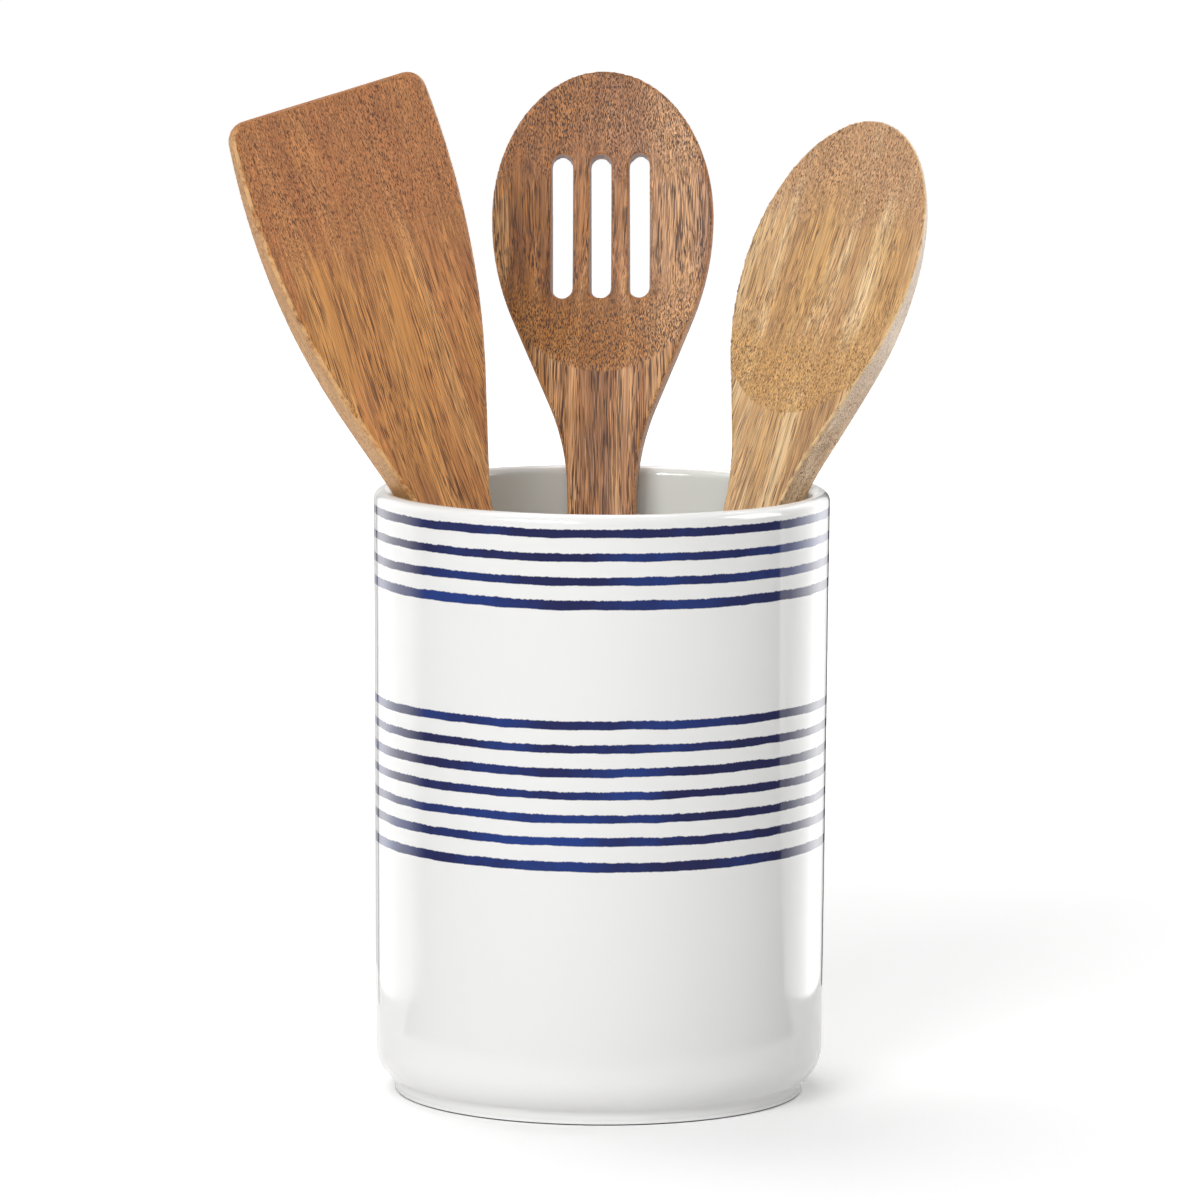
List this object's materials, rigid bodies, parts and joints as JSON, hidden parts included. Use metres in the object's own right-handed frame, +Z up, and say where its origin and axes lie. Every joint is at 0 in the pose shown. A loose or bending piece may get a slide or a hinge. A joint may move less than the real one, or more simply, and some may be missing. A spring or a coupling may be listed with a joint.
{
  "type": "utensil crock",
  "caption": "Round glazed stoneware crock that holds long-handled wooden kitchen tools upright: a flat turner, a slotted spoon and a solid spoon lean on its rim.",
  "frame": {"origin": "on the axis of the crock, at the centre of its foot ring, on the surface that it stands on", "axes": "+Z up along the axis of the crock; -Y is the front, the side that the picture shows; +X is to the right as seen from the front"},
  "size_m": [0.2038, 0.1557, 0.2981],
  "materials": {
    "crock_glaze": "gloss",
    "turner_wood": "satin",
    "slotted_spoon_wood": "satin",
    "solid_spoon_wood": "satin"
  },
  "bodies": {
    "crock": {"crock": "crock_glaze"},
    "turner": {"turner": "turner_wood"},
    "slotted_spoon": {"slotted_spoon": "slotted_spoon_wood"},
    "solid_spoon": {"solid_spoon": "solid_spoon_wood"}
  },
  "joints": [
    {"name": "turner_lift", "type": "slide", "parent": "crock", "child": "turner", "axis": [-0.3177, 0.0881, 0.9441], "range_m": [0, 0.19]},
    {"name": "slotted_spoon_lift", "type": "slide", "parent": "crock", "child": "slotted_spoon", "axis": [-0.0026, 0.3026, 0.9531], "range_m": [0, 0.19]},
    {"name": "solid_spoon_lift", "type": "slide", "parent": "crock", "child": "solid_spoon", "axis": [0.2949, 0.2838, 0.9124], "range_m": [0, 0.19]}
  ]
}
